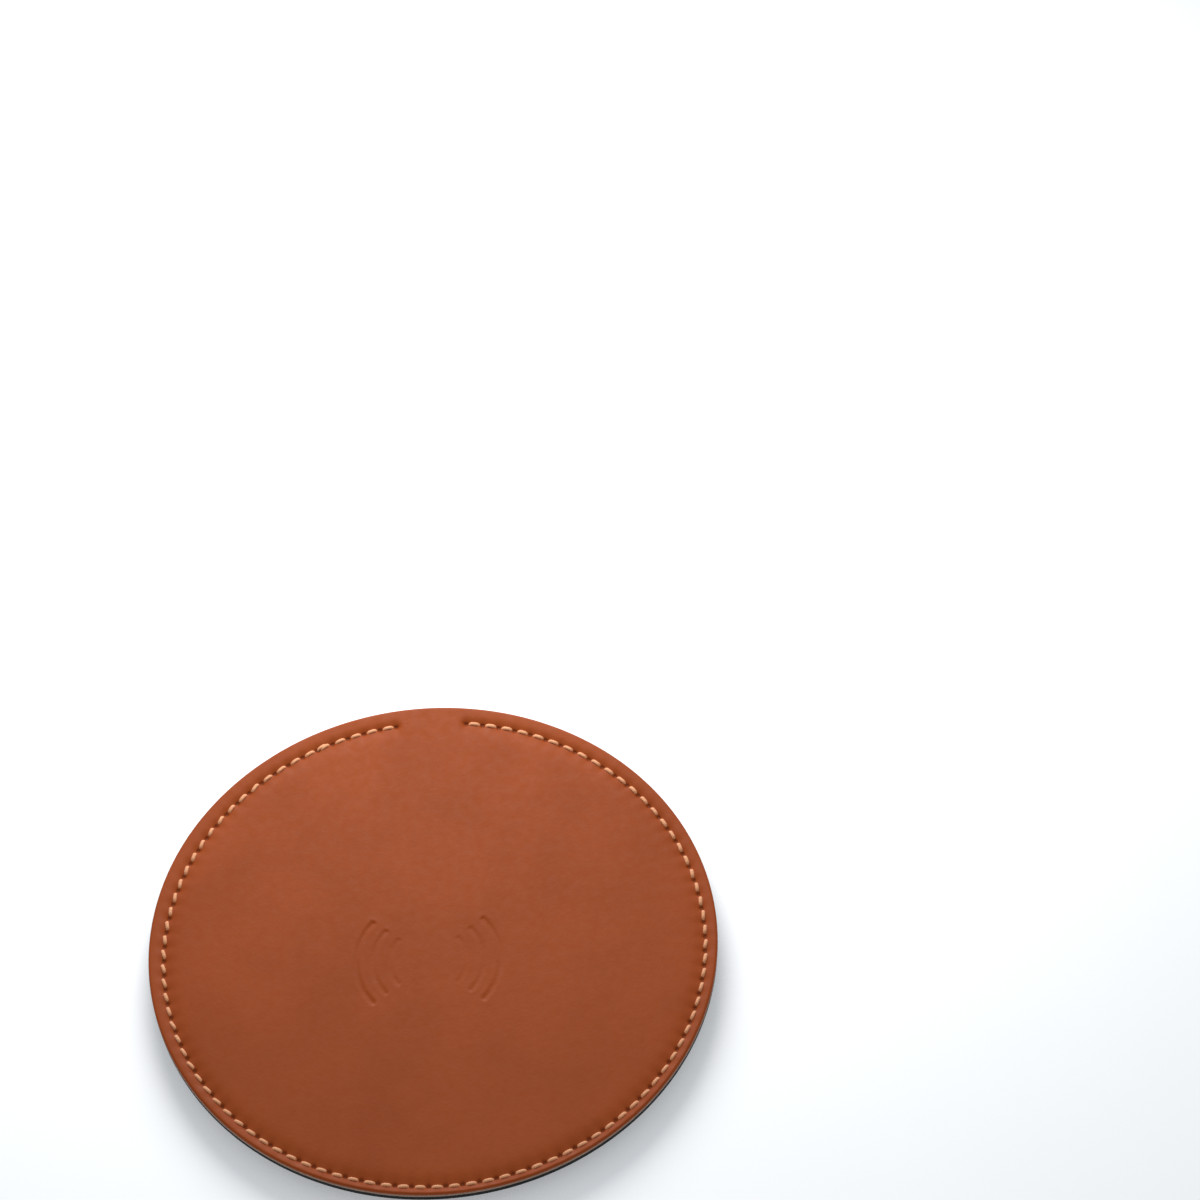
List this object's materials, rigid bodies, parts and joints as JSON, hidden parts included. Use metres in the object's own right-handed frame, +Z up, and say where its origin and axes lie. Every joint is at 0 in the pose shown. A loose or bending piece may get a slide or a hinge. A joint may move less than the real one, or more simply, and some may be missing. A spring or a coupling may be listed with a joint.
{
  "type": "wireless charging pad",
  "caption": "Thin round wireless charging pad with a stitched tan leather top, a black non-slip underside and a USB-C inlet in its rim.",
  "frame": {"origin": "middle of the round pad, on the surface that its foot ring rests on", "axes": "+Z up out of the charging face; +Y towards the USB-C inlet in the rim; +X to the right when the inlet is at the back"},
  "size_m": [0.12, 0.12, 0.0065],
  "materials": {
    "tan_leather": "smooth tan-brown artificial leather, satin, with a fine pressed grain",
    "tan_thread": "light tan waxed polyester thread",
    "black_thread": "black polyester thread",
    "black_sheet": "black rubberised non-slip sheet, matt, fine-grained",
    "silicone": "dark grey silicone, matt",
    "foam": "grey closed-cell foam",
    "abs_black": "black moulded plastic, finely eroded",
    "screw_steel": "zinc-plated steel",
    "copper": "varnished copper litz wire",
    "film": "amber insulating film",
    "ferrite": "dark grey sintered ferrite",
    "board": "green solder resist on glass-fibre board",
    "chip": "black moulding compound",
    "capacitor": "tan ceramic with tinned ends",
    "plug_steel": "nickel-plated steel"
  },
  "bodies": {
    "root": {"leather_top": "tan_leather", "seam_thread_top": "tan_thread", "seam_thread_bottom": "black_thread", "base_cover": "black_sheet", "foot_ring": "silicone", "foam_disc": "foam", "housing_tray": "abs_black", "housing_lid": "abs_black", "port_collar": "abs_black", "usb_c_shell": "plug_steel", "usb_c_tongue": "chip", "ferrite_sheet": "ferrite", "coil_film": "film", "charging_coil": "copper", "coil_lead_inner": "copper", "coil_lead_outer": "copper", "coil_thermistor": "chip", "thermistor_lead": "chip", "circuit_board": "board", "controller_chip": "chip", "crystal": "plug_steel", "voltage_regulator": "chip", "sense_resistor": "chip", "screw_1": "screw_steel", "bridge_mosfet_1": "chip", "resonant_capacitor_1": "capacitor", "screw_2": "screw_steel", "bridge_mosfet_2": "chip", "resonant_capacitor_2": "capacitor", "screw_3": "screw_steel", "bridge_mosfet_3": "chip", "resonant_capacitor_3": "capacitor", "screw_4": "screw_steel", "bridge_mosfet_4": "chip", "resonant_capacitor_4": "capacitor", "input_capacitor_1": "capacitor", "input_capacitor_2": "capacitor"}
  },
  "joints": []
}
